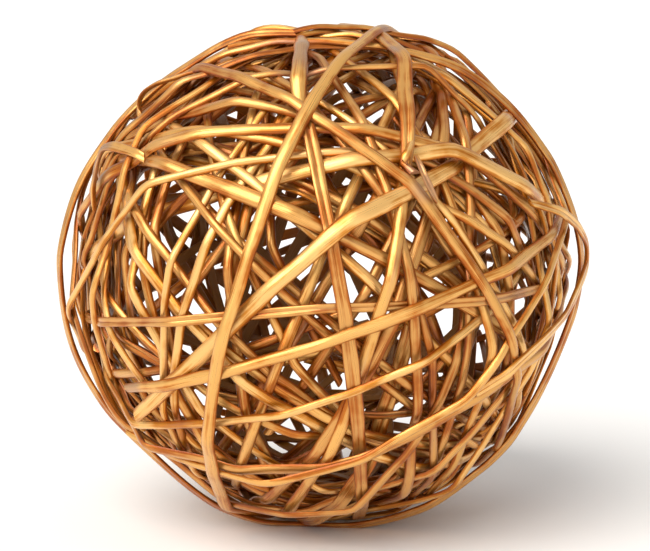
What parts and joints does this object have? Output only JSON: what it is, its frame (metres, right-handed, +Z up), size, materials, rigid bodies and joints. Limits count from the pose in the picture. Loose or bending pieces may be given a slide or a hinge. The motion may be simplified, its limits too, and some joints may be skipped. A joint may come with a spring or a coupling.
{
  "type": "decorative sphere",
  "caption": "Hollow ornamental ball woven at random from gold-painted split-willow strips; lies loose on a surface or in a bowl.",
  "frame": {"origin": "centre of the ball's bounding box in plan, at the height of the flat spot that it rests on", "axes": "+Z up through the ball; +X to the right and -Y towards the viewer of the pictured side"},
  "size_m": [0.2602, 0.2482, 0.2458],
  "materials": {
    "gold_willow_1": "gold metallic paint on split willow, satin",
    "gold_willow_2": "lighter gold metallic paint on split willow, satin",
    "gold_willow_3": "darker, coppery gold metallic paint on split willow, satin",
    "gold_willow_4": "thinly sprayed brown-gold willow, satin"
  },
  "bodies": {
    "root": {"willow_strip_01": "gold_willow_1", "willow_strip_02": "gold_willow_2", "willow_strip_03": "gold_willow_3", "willow_strip_04": "gold_willow_4", "willow_strip_05": "gold_willow_1", "willow_strip_06": "gold_willow_2", "willow_strip_07": "gold_willow_3", "willow_strip_08": "gold_willow_4", "willow_strip_09": "gold_willow_1", "willow_strip_10": "gold_willow_2", "willow_strip_11": "gold_willow_3", "willow_strip_12": "gold_willow_4", "willow_strip_13": "gold_willow_1", "willow_strip_14": "gold_willow_2", "willow_strip_15": "gold_willow_3", "willow_strip_16": "gold_willow_4", "willow_strip_17": "gold_willow_1", "willow_strip_18": "gold_willow_2", "willow_strip_19": "gold_willow_3", "willow_strip_20": "gold_willow_4", "willow_strip_21": "gold_willow_1", "willow_strip_22": "gold_willow_2", "willow_strip_23": "gold_willow_3", "willow_strip_24": "gold_willow_4", "willow_strip_25": "gold_willow_1", "willow_strip_26": "gold_willow_2", "willow_strip_27": "gold_willow_3", "willow_strip_28": "gold_willow_4", "willow_strip_29": "gold_willow_1", "willow_strip_30": "gold_willow_2", "willow_strip_31": "gold_willow_3", "willow_strip_32": "gold_willow_4", "willow_strip_33": "gold_willow_1", "willow_strip_34": "gold_willow_2", "willow_strip_35": "gold_willow_3", "willow_strip_36": "gold_willow_4", "willow_strip_37": "gold_willow_1", "willow_strip_38": "gold_willow_2", "willow_strip_39": "gold_willow_3", "willow_strip_40": "gold_willow_4", "willow_strip_41": "gold_willow_1", "willow_strip_42": "gold_willow_2", "willow_strip_43": "gold_willow_3", "willow_strip_44": "gold_willow_4", "willow_strip_45": "gold_willow_1", "willow_strip_46": "gold_willow_2", "willow_strip_47": "gold_willow_3", "willow_strip_48": "gold_willow_4", "willow_strip_49": "gold_willow_1", "willow_strip_50": "gold_willow_2", "willow_strip_51": "gold_willow_3", "willow_strip_52": "gold_willow_4", "willow_strip_53": "gold_willow_1", "willow_strip_54": "gold_willow_2", "willow_strip_55": "gold_willow_3", "willow_strip_56": "gold_willow_4", "willow_strip_57": "gold_willow_1"}
  },
  "joints": []
}
